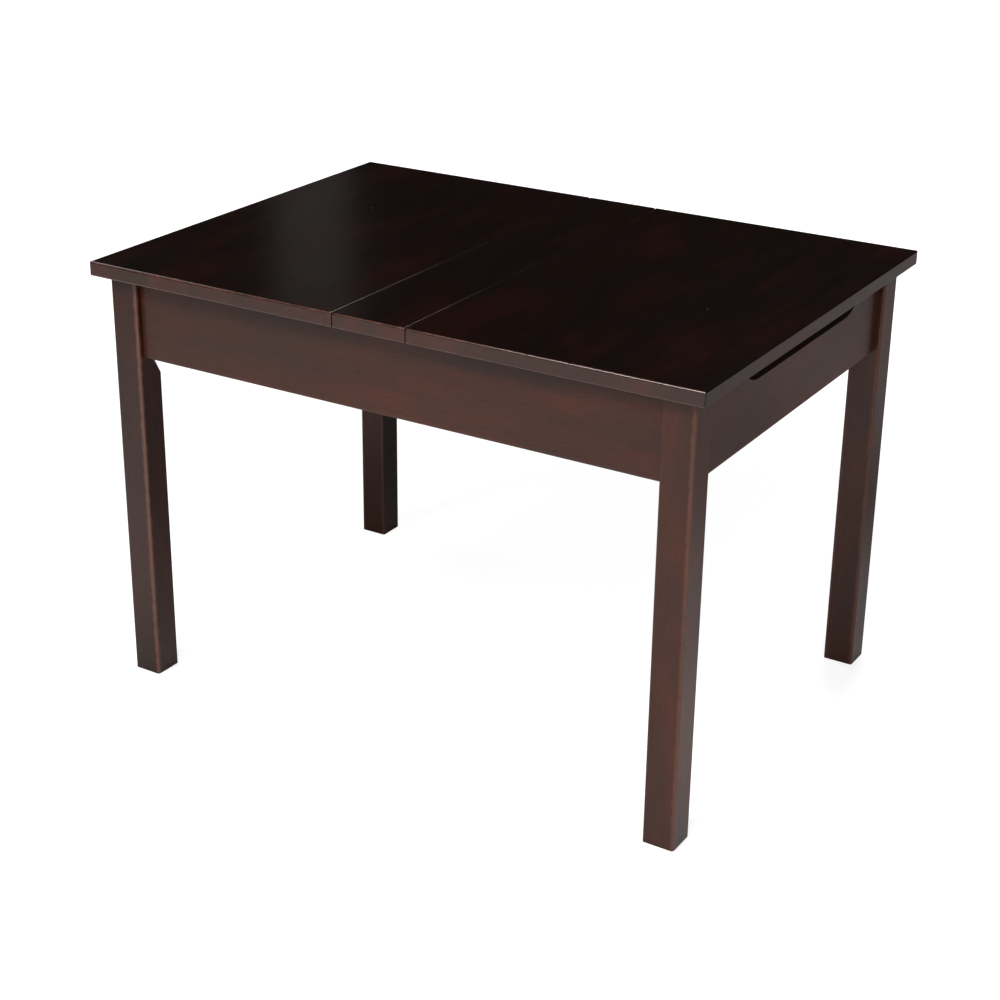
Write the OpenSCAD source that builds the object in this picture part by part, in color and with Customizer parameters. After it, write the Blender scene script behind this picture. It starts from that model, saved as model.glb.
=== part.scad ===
// Lift-top storage table for children, in dark stained wood.
// Two lids fold up from a fixed centre strip over two storage bins.
// Origin at floor level under the middle of the top, +X along the length, +Y to the back, +Z up.
// Right means +X and back means +Y in every name below.

/* [Tabletop] */
// Length of the top, left to right
table_l = 820; // [760:1:1000]
// Width of the top, front to back
table_w = 590; // [520:1:750]
// Height of the top above the floor
table_h = 555.5; // [480:0.5:760]
// Thickness of the lids and of the centre strip
top_t = 18; // [17.5:0.5:22]
// How far the top reaches past the outer faces of the legs
top_overhang = 17; // [5:0.5:30]
// Width of the fixed centre strip
strip_w = 97; // [90:0.5:130]
// Gap between the strip and each lid
crack_gap = 1.5; // [1:0.1:3]
// Rounding of the edges and corners of the lids and the strip
edge_r = 2.2; // [1:0.1:2.6]

/* [Legs] */
// Width of each square leg
leg_w = 39; // [36:0.5:50]
// Rounding of the upright edges of the legs
leg_edge_r = 3; // [1:0.5:6]
// Chamfer cut off the inner corner of each leg, where the brace bears
leg_chamfer = 14; // [10:0.5:18]
// Height over which the chamfer grows from nothing to full width
chamfer_runout = 22.8; // [10:0.1:30]
// How far below the apron the chamfer starts
chamfer_start = 30.3; // [24:0.1:60]

/* [Aprons] */
// Height of the aprons
apron_h = 102; // [98:0.5:125]
// Thickness of the aprons
apron_t = 18; // [16:0.5:22]
// How far the aprons sit behind the outer faces of the legs
apron_recess = 8.3; // [3:0.1:12]
// Rounding of the lower edges of the aprons
apron_edge_r = 1.5; // [0.5:0.1:3]

/* [Finger slots] */
// Depth of each finger slot below the lid
slot_depth = 30; // [15:0.5:40]
// Length of the flat floor of each finger slot
slot_floor_l = 241.5; // [80:0.5:280]
// Radius of the curved ends of each finger slot
slot_end_r = 50; // [42:1:80]
// How far the middle of each slot lies behind the middle of its apron
slot_shift = 14; // [0:0.5:20]

/* [Bins] */
// Thickness of the two bin floors
floor_t = 5; // [3:0.5:8]
// Height of the cleats under the bin floors
cleat_h = 12; // [10:0.5:16]
// Width of the cleats under the bin floors
cleat_w = 12; // [10:0.5:16]
// Gap at the ends of the short cleats
cleat_gap = 0.6; // [0.3:0.1:2]
// Gap round the edge of each bin floor
floor_gap = 0.5; // [0.2:0.1:0.9]
// Thickness of the two dividers under the centre strip
divider_t = 14; // [13:0.5:18]
// How far each divider stands inside the edge of the strip
divider_inset = 2.5; // [1:0.1:5]
// Side of the square cleats that hold the strip
strip_cleat = 16; // [14:0.5:20]
// Length of the cleats that hold the strip
strip_cleat_l = 400; // [300:5:480]

/* [Corner braces] */
// Gap between each brace and the chamfer of its leg
brace_gap = 0.05; // [0.03:0.01:0.2]
// Thickness of the wooden corner braces
brace_t = 18; // [14:0.5:22]
// Height of the corner braces
brace_h = 66; // [60:0.5:67]
// Height between the two bolts of one corner
bolt_spacing = 26; // [20:0.5:30]
// Height between the two screws on one side of a brace
brace_screw_spacing = 48; // [44:0.5:52]

/* [Hinges] */
// Distance of each hinge from the middle of the table, front and back
hinge_y = 190; // [120:1:220]
// Depth of the fixed hinge pins below the surface of the top
hinge_pin_depth = 7; // [6.8:0.1:7.2]
// Diameter of the hinge pins
hinge_pin_d = 2.4; // [2:0.1:2.5]
// Radius of the round ends of the hinge links
hinge_eye_r = 2.2; // [2:0.05:2.3]
// Width of the hinge links between their round ends
hinge_link_w = 3.8; // [3:0.1:4]
// Width of the single link that hangs on a lid
hinge_inner_w = 5.8; // [4:0.1:7]
// Width of each of the two links that hang on the strip
hinge_outer_w = 5; // [3:0.1:7]
// Free play beside each hinge link
hinge_play = 0.3; // [0.2:0.05:0.5]
// Length of each hinge cup along the gap
cup_l = 40; // [38:0.5:48]
// Height of each hinge cup
cup_h = 12.4; // [11.5:0.1:12.6]
// Depth of the top edge of each hinge cup below the surface
cup_drop = 3.6; // [3.2:0.1:4]
// How far each hinge cup reaches into the wood
cup_depth = 10.5; // [9:0.1:12]

/* [Lid stays] */
// Length of each stay bar between its rivets
stay_l = 56; // [50:0.5:58]
// Angle of the lid rivet below the level line through the hinge axis
stay_lid_angle = 33; // [31:0.5:35]
// Angle of the bin rivet below the level line through the hinge axis
stay_bin_angle = 86; // [84:0.5:87]
// Width of the stay bars between their round ends
stay_w = 8; // [7:0.5:9]
// Radius of the round ends of the stay bars
stay_eye_r = 4.8; // [4.6:0.1:5.5]
// Thickness of the stay bars and plates
stay_t = 2; // [1.5:0.1:2.5]
// Gap between neighbouring layers of a stay
stay_gap = 0.5; // [0.3:0.05:0.8]
// Diameter of the stay rivets
rivet_d = 4; // [3:0.1:5]
// Diameter of the rivet heads
rivet_head_d = 8; // [7:0.5:9]
// Largest opening angle of each lid
lid_travel = 95; // [85:1:97]

/* [Fasteners] */
// Diameter of the hanger bolts in the legs
bolt_d = 6; // [5:0.5:7]
// Depth that each hanger bolt reaches into its leg
bolt_grip = 25; // [18:0.5:28]
// Width of the hanger bolt nuts across their flats
nut_af = 10; // [9:0.5:12]
// Height of the hanger bolt nuts
nut_h = 5; // [4:0.5:7]
// Diameter of the washers under the nuts
washer_d = 18; // [14:0.5:18]
// Thickness of the washers under the nuts
washer_t = 1.6; // [1:0.1:2.5]
// Diameter of the wooden dowels
dowel_d = 8; // [6:0.5:9]
// Length of the wooden dowels
dowel_l = 30; // [24:0.5:30]
// Diameter of the larger wood screws
screw_d = 4; // [3.5:0.1:4.5]
// Head diameter of the larger wood screws
screw_head_d = 8; // [7:0.1:8.5]
// Diameter of the small wood screws
small_screw_d = 3; // [2.5:0.1:3.2]
// Head diameter of the small wood screws
small_head_d = 5.6; // [5:0.1:6]
// Radial clearance of anything that turns on a pin
turn_fit = 0.05; // [0.03:0.01:0.1]

/* [Hidden] */
$fn = 48;

// Overshoot of cuts past the faces that they open
cut = 1;
diag = sqrt(2);

// Levels
top_under = table_h - top_t;
apron_bottom = top_under - apron_h;
floor_under = apron_bottom + cleat_h;
apron_mid = apron_bottom + apron_h / 2;

// Plan positions of the right and back faces
leg_x = table_l / 2 - top_overhang;
leg_y = table_w / 2 - top_overhang;
leg_in_x = leg_x - leg_w;
leg_in_y = leg_y - leg_w;
apron_x = leg_x - apron_recess;
apron_y = leg_y - apron_recess;
bin_x = apron_x - apron_t;
bin_y = apron_y - apron_t;
crack_x = strip_w / 2 + crack_gap / 2;
divider_x = strip_w / 2 - divider_inset;

// Corner geometry, measured from the corner where two apron inner faces meet
leg_corner = apron_recess + apron_t - leg_w;
chamfer_sum = 2 * leg_corner + leg_chamfer;
brace_outer = chamfer_sum - brace_gap;
brace_inner = brace_outer - brace_t * diag;
brace_screw_v = (brace_outer + brace_inner) / 2;
brace_seat_depth = 1.2;
brace_seat = brace_inner - brace_screw_v + screw_head_d / 2 + brace_seat_depth;
// Free play round the heads of the brace screws
head_play = 0.2;
// Thread that shows past each nut
bolt_end = 1.5;

// Screw lengths and head heights
brace_screw_l = 20;
cleat_screw_l = 22;
floor_screw_l = 14;
strip_screw_l = 28;
hinge_screw_l = 20;
stay_screw_l = 14;
head_h = 2.4;
small_head_h = 1.6;
recess_w = 0.9;
recess_depth = 0.9;
// Span of a head's cross recess as a share of the head
recess_span = 0.55;

// Distance of the end screws of each row from the ends of what they hold
long_cleat_margin = 40;
end_cleat_margin = 50;
floor_margin_x = 95;
floor_margin_y = 120;
strip_margin = 60;
strip_cleat_margin = 25;

// Dowel places
dowel_rise = 20;
dowel_z = [apron_bottom + dowel_rise, top_under - dowel_rise];
divider_dowel_grip = 12;

// Hinge geometry, measured from the virtual axis at the surface above the middle of the gap
eye_setback = 0.05;
eye_room = 0.6;
cavity_roof = 0.8;
cavity_floor = 0.4;
pin_seat = 2;
hinge_pin_x = crack_gap / 2 + hinge_eye_r + eye_setback;
link_half = hinge_inner_w / 2 + hinge_play + hinge_outer_w;
cavity_half = link_half + hinge_play;
cavity_depth = hinge_pin_x + hinge_eye_r + eye_room;
cavity_top = edge_r + cavity_roof;
cavity_bottom = 2 * hinge_pin_depth + hinge_eye_r + cavity_floor;
cup_mid = -cup_drop - cup_h / 2;
cup_screw_y = (cavity_half + cup_l / 2) / 2;
pin_half = cavity_half + pin_seat;

// Stay geometry, measured from the same axis
lid_rivet = stay_l * [cos(stay_lid_angle), -sin(stay_lid_angle)];
bin_rivet = stay_l * [cos(stay_bin_angle), -sin(stay_bin_angle)];
elbow = lid_rivet + bin_rivet;
stay_plate_y = bin_y - stay_t;
lower_bar_y = stay_plate_y - stay_gap - stay_t;
upper_bar_y = lower_bar_y - stay_gap - stay_t;
stay_ear_y = upper_bar_y - stay_gap - stay_t;
stay_plate_l = 26;
stay_plate_h = 24;
stay_plate_r = 3;
stay_plate_screw_inset = 6;
stay_plate_screw_dz = 6;
stay_bracket_screw_dx = 9;
stay_flange_l = 30;
stay_flange_w = 20;
rivet_head_h = 1;
rivet_head_gap = 0.15;
stop_reach = 11;
stop_d = 3;
stop_gap = 0.15;
stop_tongue_w = 5;
// Angle between the continued lower bar and the upper bar with the lid fully open
open_angle = 180 - stay_bin_angle + stay_lid_angle - lid_travel;
stop_angle = open_angle - asin((stay_w / 2 + stop_d / 2 + stop_gap) / stop_reach);

// Colours
stain = [0.24, 0.17, 0.14];
stain_inside = [0.3, 0.22, 0.18];
beech = [0.8, 0.66, 0.48];
zinc = [0.72, 0.73, 0.75];
bronze = [0.35, 0.3, 0.26];

// Puts a right-hand part on the right or mirrors it to the left
module on_side(s) {
  if (s < 0) mirror([1, 0, 0]) children();
  else children();
}

// Moves a part made at the origin to the corner where two apron inner faces meet
module on_corner(sx, sy) {
  on_side(sx)
    if (sy < 0) mirror([0, 1, 0]) translate([bin_x, bin_y, 0]) children();
    else translate([bin_x, bin_y, 0]) children();
}

// Puts a part made round the virtual hinge axis beside the right or left gap
module on_hinge_axis(s) {
  on_side(s) translate([crack_x, 0, table_h]) children();
}

// Rectangle from p to q with its own radius at each corner, counted from p round by the right
module soft_rect(p, q, r) {
  size = q - p;
  corners = [p, [q.x, p.y], q, [p.x, q.y]];
  inward = [[1, 1], [-1, 1], [-1, -1], [1, -1]];
  difference() {
    translate(p) square(size);
    for (i = [0 : 3])
      if (r[i] > 0) translate(corners[i] + inward[i] * r[i] / 2) square(r[i], center = true);
  }
  for (i = [0 : 3])
    if (r[i] > 0) translate(corners[i] + inward[i] * r[i]) circle(r[i]);
}

// What a rounding takes off one corner of an outline, inward pointing into the wood
module corner_cut(at, inward, r) {
  difference() {
    translate(at + inward * (r - cut) / 2) square(r + cut, center = true);
    translate(at + inward * r) circle(r);
  }
}

// Extrudes an outline drawn in X and Z along Y, from y0 to y1
module along_y(y0, y1) {
  translate([0, y1, 0]) rotate([90, 0, 0]) linear_extrude(y1 - y0) children();
}

// Extrudes an outline drawn in Y and Z along X, from x0 to x1
module along_x(x0, x1) {
  translate([x0, 0, 0]) rotate([90, 0, 90]) linear_extrude(x1 - x0) children();
}

// Countersunk screw with its head flush at the origin, pointing down
module screw(l, d, head_d, head_height) {
  difference() {
    union() {
      translate([0, 0, -head_height]) cylinder(h = head_height, r1 = d / 2, r2 = head_d / 2);
      translate([0, 0, -l]) cylinder(h = l - head_height, r = d / 2);
    }
    for (a = [0, 90])
      rotate(a) cube([head_d * recess_span, recess_w, 2 * recess_depth], center = true);
  }
}

// Hole that a countersunk screw fills, open above its head
module screw_hole(l, d, head_d, head_height) {
  translate([0, 0, -head_height]) cylinder(h = head_height, r1 = d / 2, r2 = head_d / 2);
  translate([0, 0, -l]) cylinder(h = l, r = d / 2);
  cylinder(h = cut, r = head_d / 2);
}

// Places along a length for a row of n screws, the end ones margin from the ends
function row(from, to, n, margin) =
  [for (i = [0 : n - 1]) from + margin + (to - from - 2 * margin) * i / (n - 1)];

// Board of the top from x0 to x1 with rounded edges, r gives the radii of its outline in X and Z
module top_board(x0, x1, r) {
  difference() {
    along_y(-table_w / 2, table_w / 2) soft_rect([x0, top_under], [x1, table_h], r);
    for (sy = [-1, 1]) {
      along_x(x0 - cut, x1 + cut) corner_cut([sy * table_w / 2, table_h], [-sy, -1], edge_r);
      along_x(x0 - cut, x1 + cut) corner_cut([sy * table_w / 2, top_under], [-sy, 1], edge_r);
    }
  }
}

// Lid on the right, before its hinge and stay holes
module lid_board() {
  difference() {
    top_board(crack_x + crack_gap / 2, table_l / 2, [0, edge_r, edge_r, edge_r]);
    for (sy = [-1, 1])
      translate([0, 0, top_under - cut]) linear_extrude(top_t + 2 * cut)
        corner_cut([table_l / 2, sy * table_w / 2], [-1, -sy], edge_r);
  }
}

module lid(s) {
  color(stain) difference() {
    on_side(s) lid_board();
    on_hinge_axis(s) for (y = [-hinge_y, hinge_y]) translate([0, y, 0]) hinge_pocket(1);
    on_side(s) stay_bracket_screw_places() screw_hole(stay_screw_l, small_screw_d, small_head_d, small_head_h);
  }
}

module centre_strip() {
  w = strip_w / 2;
  color(stain) difference() {
    top_board(-w, w, [0, 0, edge_r, edge_r]);
    for (s = [-1, 1])
      on_hinge_axis(s) for (y = [-hinge_y, hinge_y]) translate([0, y, 0]) hinge_pocket(-1);
    strip_screw_places() screw_hole(strip_screw_l, screw_d, screw_head_d, head_h);
  }
}

// Wedge that takes the inner corner off a leg, in the frame of a corner
module leg_chamfer_cut() {
  corner = leg_corner * diag;
  flat = chamfer_sum / diag;
  slope = chamfer_runout / (flat - corner);
  z0 = apron_bottom - chamfer_start;
  rotate([0, 0, 45]) rotate([90, 0, 0]) translate([0, 0, -leg_w]) linear_extrude(2 * leg_w)
    polygon([
      [corner - cut, z0 - cut * slope], [flat, z0 + chamfer_runout],
      [flat, top_under + cut], [corner - cut, top_under + cut]
    ]);
}

module leg(sx, sy) {
  color(stain) difference() {
    on_corner(sx, sy) difference() {
      linear_extrude(top_under)
        soft_rect([1, 1] * leg_corner, [1, 1] * (leg_corner + leg_w), [1, 1, 1, 1] * leg_edge_r);
      leg_chamfer_cut();
      hanger_bolt_places() cylinder(h = bolt_grip, r = bolt_d / 2);
    }
    dowels_all();
  }
}

// Long apron at the back, the front one is its mirror image
module long_apron(sy) {
  color(stain) difference() {
    mirror([0, sy < 0 ? 1 : 0, 0]) along_x(-leg_in_x, leg_in_x)
      soft_rect([bin_y, apron_bottom], [apron_y, top_under], [apron_edge_r, apron_edge_r, 0, 0]);
    dowels_all();
    for (s = [-1, 1]) brace_screws_of(s, sy, true);
    cleat_screw_holes();
    stay_plate_screw_holes();
  }
}

// Outline of a finger slot in Y and Z
module slot_outline() {
  floor_z = top_under - slot_depth;
  y0 = slot_shift - slot_floor_l / 2;
  y1 = slot_shift + slot_floor_l / 2;
  translate([y0, floor_z]) square([slot_floor_l, slot_depth + cut]);
  for (y = [y0, y1]) translate([y, floor_z + slot_end_r]) circle(slot_end_r);
}

// Short apron on the right, the left one is its mirror image
module end_apron(s) {
  color(stain) difference() {
    on_side(s) along_y(-leg_in_y, leg_in_y)
      soft_rect([bin_x, apron_bottom], [apron_x, top_under], [apron_edge_r, apron_edge_r, 0, 0]);
    on_side(s) along_x(bin_x - cut, apron_x + cut) slot_outline();
    dowels_all();
    for (sy = [-1, 1]) brace_screws_of(s, sy, true);
    cleat_screw_holes();
  }
}

module divider(s) {
  color(stain_inside) difference() {
    on_side(s) translate([divider_x - divider_t, -bin_y, apron_bottom])
      cube([divider_t, 2 * bin_y, apron_h]);
    dowels_all();
    cleat_screw_holes();
    strip_cleat_screw_places() screw_hole(cleat_screw_l, screw_d, screw_head_d, head_h);
  }
}

module bin_floor(s) {
  x0 = divider_x + floor_gap;
  x1 = bin_x - floor_gap;
  y1 = bin_y - floor_gap;
  c = -chamfer_sum;
  color(stain_inside) difference() {
    on_side(s) translate([0, 0, floor_under]) linear_extrude(floor_t)
      polygon([[x0, -y1], [x1 - c, -y1], [x1, -y1 + c], [x1, y1 - c], [x1 - c, y1], [x0, y1]]);
    floor_screw_places(s) screw_hole(floor_screw_l, small_screw_d, small_head_d, small_head_h);
  }
}

// The four cleats that carry the right bin floor
module floor_cleats_right() {
  long_l = leg_in_x - divider_x;
  divider_half = bin_y - cleat_w - cleat_gap;
  end_half = leg_in_y - cleat_gap;
  for (y = [-bin_y, bin_y - cleat_w])
    translate([divider_x, y, apron_bottom]) cube([long_l, cleat_w, cleat_h]);
  translate([divider_x, -divider_half, apron_bottom]) cube([cleat_w, 2 * divider_half, cleat_h]);
  translate([bin_x - cleat_w, -end_half, apron_bottom]) cube([cleat_w, 2 * end_half, cleat_h]);
}

module floor_cleats(s) {
  color(stain_inside) difference() {
    on_side(s) floor_cleats_right();
    cleat_screw_holes();
    floor_screw_places(s) screw_hole(floor_screw_l, small_screw_d, small_head_d, small_head_h);
  }
}

module strip_cleats() {
  color(stain_inside) difference() {
    for (s = [-1, 1])
      on_side(s) translate([divider_x - divider_t - strip_cleat, -strip_cleat_l / 2, top_under - strip_cleat])
        cube([strip_cleat, strip_cleat_l, strip_cleat]);
    strip_screw_places() screw_hole(strip_screw_l, screw_d, screw_head_d, head_h);
    strip_cleat_screw_places() screw_hole(cleat_screw_l, screw_d, screw_head_d, head_h);
  }
}

module corner_brace(sx, sy) {
  color(stain_inside) difference() {
    on_corner(sx, sy) difference() {
      translate([0, 0, apron_mid - brace_h / 2]) linear_extrude(brace_h)
        polygon([[0, brace_outer], [brace_outer, 0], [brace_inner, 0], [0, brace_inner]]);
      hanger_bolt_places() translate([0, 0, -brace_t - cut]) cylinder(h = brace_t + 2 * cut, r = bolt_d / 2);
    }
    brace_screws_of(sx, sy, true);
  }
}

// Places of the bolts of one corner, on the chamfer of the leg and pointing into it
module hanger_bolt_places() {
  for (dz = [-0.5, 0.5])
    translate([brace_outer / 2, brace_outer / 2, apron_mid + dz * bolt_spacing])
      rotate([0, 0, 45]) rotate([0, 90, 0]) children();
}

module on_all_corners() {
  for (sx = [-1, 1]) for (sy = [-1, 1]) on_corner(sx, sy) children();
}

module hanger_bolts() {
  back = brace_t + washer_t + nut_h + bolt_end;
  color(zinc) on_all_corners() hanger_bolt_places()
    translate([0, 0, -back]) cylinder(h = back + bolt_grip, r = bolt_d / 2);
}

module bolt_washers() {
  color(zinc) on_all_corners() hanger_bolt_places() translate([0, 0, -brace_t - washer_t])
    difference() {
      cylinder(h = washer_t, r = washer_d / 2);
      translate([0, 0, -cut]) cylinder(h = washer_t + 2 * cut, r = bolt_d / 2 + turn_fit);
    }
}

module bolt_nuts() {
  color(zinc) on_all_corners() hanger_bolt_places() translate([0, 0, -brace_t - washer_t - nut_h])
    difference() {
      intersection() {
        cylinder(h = nut_h, r = nut_af / sqrt(3), $fn = 6);
        translate([0, 0, -cut])
          cylinder(h = nut_h + cut, r1 = nut_af / 2 - cut, r2 = nut_af / 2 + nut_h, $fn = 48);
      }
      translate([0, 0, -cut]) cylinder(h = nut_h + 2 * cut, r = bolt_d / 2 + turn_fit);
    }
}

// One dowel with its middle at the origin, lying along X
module dowel() {
  rotate([0, 90, 0]) cylinder(h = dowel_l, r = dowel_d / 2, center = true);
}

// Every dowel: in the ends of the aprons and in the ends of the dividers
module dowels_all() {
  for (sx = [-1, 1]) for (sy = [-1, 1]) for (z = dowel_z) {
    translate([sx * leg_in_x, sy * (apron_y + bin_y) / 2, z]) dowel();
    translate([sx * (apron_x + bin_x) / 2, sy * leg_in_y, z]) rotate(90) dowel();
    translate([sx * (divider_x - divider_t / 2), sy * (bin_y + divider_dowel_grip - dowel_l / 2), z])
      rotate(90) dowel();
  }
}

module dowels() {
  color(beech) dowels_all();
}

// The four screws of one brace, or the holes that they fill
module brace_screws_of(sx, sy, hole) {
  on_corner(sx, sy) for (swap = [0, 1]) for (dz = [-0.5, 0.5])
    mirror(swap ? [1, -1, 0] : [0, 0, 0])
      translate([brace_seat, brace_screw_v, apron_mid + dz * brace_screw_spacing]) rotate([0, -90, 0])
        if (hole) {
          translate([0, 0, -brace_screw_l]) cylinder(h = brace_screw_l, r = screw_d / 2);
          cylinder(h = brace_t, r = screw_head_d / 2 + head_play);
        } else pan_screw();
}

// Screw with a flat round head that stands on the origin, pointing down
module pan_screw() {
  difference() {
    union() {
      translate([0, 0, -brace_screw_l]) cylinder(h = brace_screw_l + cut, r = screw_d / 2);
      cylinder(h = head_h, r = screw_head_d / 2);
    }
    for (a = [0, 90])
      translate([0, 0, head_h]) rotate(a)
        cube([screw_head_d * recess_span, recess_w, 2 * recess_depth], center = true);
  }
}

module brace_screws() {
  color(zinc) for (sx = [-1, 1]) for (sy = [-1, 1]) brace_screws_of(sx, sy, false);
}

// Places of the screws that hold the floor cleats, head outwards from the cleat
module cleat_screw_places() {
  z = apron_bottom + cleat_h / 2;
  for (s = [-1, 1]) on_side(s) {
    for (x = row(divider_x, leg_in_x, 3, long_cleat_margin)) for (sy = [-1, 1])
      translate([x, sy * (bin_y - cleat_w), z]) rotate([sy * 90, 0, 0]) children();
    for (y = row(-leg_in_y, leg_in_y, 3, end_cleat_margin)) {
      translate([bin_x - cleat_w, y, z]) rotate([0, -90, 0]) children();
      translate([divider_x + cleat_w, y, z]) rotate([0, 90, 0]) children();
    }
  }
}

module cleat_screw_holes() {
  cleat_screw_places() screw_hole(cleat_screw_l, screw_d, screw_head_d, head_h);
}

module cleat_screws() {
  color(zinc) {
    cleat_screw_places() screw(cleat_screw_l, screw_d, screw_head_d, head_h);
    strip_cleat_screw_places() screw(cleat_screw_l, screw_d, screw_head_d, head_h);
  }
}

// Places of the screws that hold one bin floor, head up
module floor_screw_places(s) {
  z = floor_under + floor_t;
  on_side(s) {
    for (x = row(divider_x, leg_in_x, 2, floor_margin_x)) for (sy = [-1, 1])
      translate([x, sy * (bin_y - cleat_w / 2), z]) children();
    for (y = row(-leg_in_y, leg_in_y, 2, floor_margin_y))
      for (x = [divider_x + cleat_w / 2, bin_x - cleat_w / 2]) translate([x, y, z]) children();
  }
}

module floor_screws() {
  color(zinc) for (s = [-1, 1])
    floor_screw_places(s) screw(floor_screw_l, small_screw_d, small_head_d, small_head_h);
}

// Places of the screws that go up through the strip cleats into the strip
module strip_screw_places() {
  for (s = [-1, 1]) on_side(s) for (y = row(-strip_cleat_l / 2, strip_cleat_l / 2, 3, strip_margin))
    translate([divider_x - divider_t - strip_cleat / 2, y, top_under - strip_cleat])
      rotate([180, 0, 0]) children();
}

// Places of the screws that hold the strip cleats to the dividers
module strip_cleat_screw_places() {
  for (s = [-1, 1]) on_side(s)
    for (y = row(-strip_cleat_l / 2, strip_cleat_l / 2, 4, strip_cleat_margin))
      translate([divider_x - divider_t - strip_cleat, y, top_under - strip_cleat / 2])
        rotate([0, -90, 0]) children();
}

module strip_screws() {
  color(zinc) strip_screw_places() screw(strip_screw_l, screw_d, screw_head_d, head_h);
}

// Outline of a hinge cup in Y and Z, with round ends
module cup_outline() {
  translate([0, cup_mid]) {
    square([cup_l - cup_h, cup_h], center = true);
    for (s = [-1, 1]) translate([s * (cup_l - cup_h) / 2, 0]) circle(cup_h / 2);
  }
}

// Pocket for one hinge in the lid (side 1) or in the strip (side -1)
module hinge_pocket(side) {
  face = crack_gap / 2;
  mirror([side < 0 ? 1 : 0, 0, 0]) {
    along_x(face - cut, face + cup_depth) cup_outline();
    translate([face - cut, -cavity_half, -cavity_bottom])
      cube([cavity_depth + cut - face, 2 * cavity_half, cavity_bottom - cavity_top]);
    for (s = [-1, 1]) translate([face, s * cup_screw_y, cup_mid]) rotate([0, -90, 0])
      translate([0, 0, -hinge_screw_l]) cylinder(h = hinge_screw_l, r = small_screw_d / 2);
  }
}

// Metal cup with two ends that carry the pin, open in the middle for the links
module hinge_cup(side) {
  face = crack_gap / 2;
  mirror([side < 0 ? 1 : 0, 0, 0]) difference() {
    along_x(face, face + cup_depth) cup_outline();
    translate([face - cut, -cavity_half, cup_mid - cup_h / 2 - cut])
      cube([cavity_depth + cut - face, 2 * cavity_half, cup_h + 2 * cut]);
    translate([hinge_pin_x, 0, -hinge_pin_depth]) rotate([90, 0, 0])
      cylinder(h = 2 * pin_half, r = hinge_pin_d / 2, center = true);
    for (s = [-1, 1]) translate([face, s * cup_screw_y, cup_mid]) rotate([0, -90, 0])
      screw_hole(hinge_screw_l, small_screw_d, small_head_d, small_head_h);
  }
}

// Pin in the cup of the lid (side 1) or of the strip (side -1)
module hinge_pin(side) {
  translate([side * hinge_pin_x, 0, -hinge_pin_depth]) rotate([90, 0, 0])
    cylinder(h = 2 * pin_half, r = hinge_pin_d / 2, center = true);
}

module hinge_screw_pair(side) {
  mirror([side < 0 ? 1 : 0, 0, 0]) for (s = [-1, 1])
    translate([crack_gap / 2, s * cup_screw_y, cup_mid]) rotate([0, -90, 0])
      screw(hinge_screw_l, small_screw_d, small_head_d, small_head_h);
}

// Outline of a hinge link in X and Z, from a cup pin to the middle pin
module link_outline(side) {
  cup_pin = [side * hinge_pin_x, -hinge_pin_depth];
  middle_pin = [0, -2 * hinge_pin_depth];
  run = middle_pin - cup_pin;
  for (p = [cup_pin, middle_pin]) translate(p) circle(hinge_eye_r);
  translate((cup_pin + middle_pin) / 2) rotate(atan2(run.y, run.x))
    square([norm(run), hinge_link_w], center = true);
}

// Two links that hang on the strip, riveted together by the middle pin
module hinge_outer_link_pair() {
  bore = hinge_pin_d / 2 + turn_fit;
  for (s = [-1, 1]) mirror([0, s < 0 ? 1 : 0, 0]) difference() {
    along_y(link_half - hinge_outer_w, link_half) link_outline(-1);
    translate([-hinge_pin_x, 0, -hinge_pin_depth]) rotate([90, 0, 0])
      cylinder(h = 4 * link_half, r = bore, center = true);
  }
  translate([0, 0, -2 * hinge_pin_depth]) rotate([90, 0, 0])
    cylinder(h = 2 * link_half, r = hinge_pin_d / 2, center = true);
}

// Single link that hangs on the lid and turns on the middle pin
module hinge_inner_link() {
  bore = hinge_pin_d / 2 + turn_fit;
  difference() {
    along_y(-hinge_inner_w / 2, hinge_inner_w / 2) link_outline(1);
    for (p = [[hinge_pin_x, -hinge_pin_depth], [0, -2 * hinge_pin_depth]])
      translate([p.x, 0, p.y]) rotate([90, 0, 0]) cylinder(h = 4 * link_half, r = bore, center = true);
  }
}

// Repeats a part made for one hinge at the front and back hinges of one lid
module at_hinges(s) {
  on_hinge_axis(s) for (y = [-hinge_y, hinge_y]) translate([0, y, 0]) children();
}

module hinge_cups_strip() {
  color(bronze) for (s = [-1, 1]) at_hinges(s) hinge_cup(-1);
}

module hinge_pins_strip() {
  color(zinc) for (s = [-1, 1]) at_hinges(s) hinge_pin(-1);
}

module hinge_screws_strip() {
  color(bronze) for (s = [-1, 1]) at_hinges(s) hinge_screw_pair(-1);
}

module hinge_cups(s) {
  color(bronze) at_hinges(s) hinge_cup(1);
}

module hinge_pins(s) {
  color(zinc) at_hinges(s) hinge_pin(1);
}

module hinge_screws(s) {
  color(bronze) at_hinges(s) hinge_screw_pair(1);
}

module hinge_outer_links(s) {
  color(bronze) at_hinges(s) hinge_outer_link_pair();
}

module hinge_inner_links(s) {
  color(bronze) at_hinges(s) hinge_inner_link();
}

// Flat bar with round ends at p and q, in X and Z
module bar_outline(p, q) {
  run = q - p;
  for (e = [p, q]) translate(e) circle(stay_eye_r);
  translate((p + q) / 2) rotate(atan2(run.y, run.x)) square([norm(run), stay_w], center = true);
}

// Rivet shank or bore at a point of X and Z, from y0 to y1
module at_rivet(p, y0, y1, r) {
  translate([p.x, y1, p.y]) rotate([90, 0, 0]) cylinder(h = y1 - y0, r = r);
}

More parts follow.
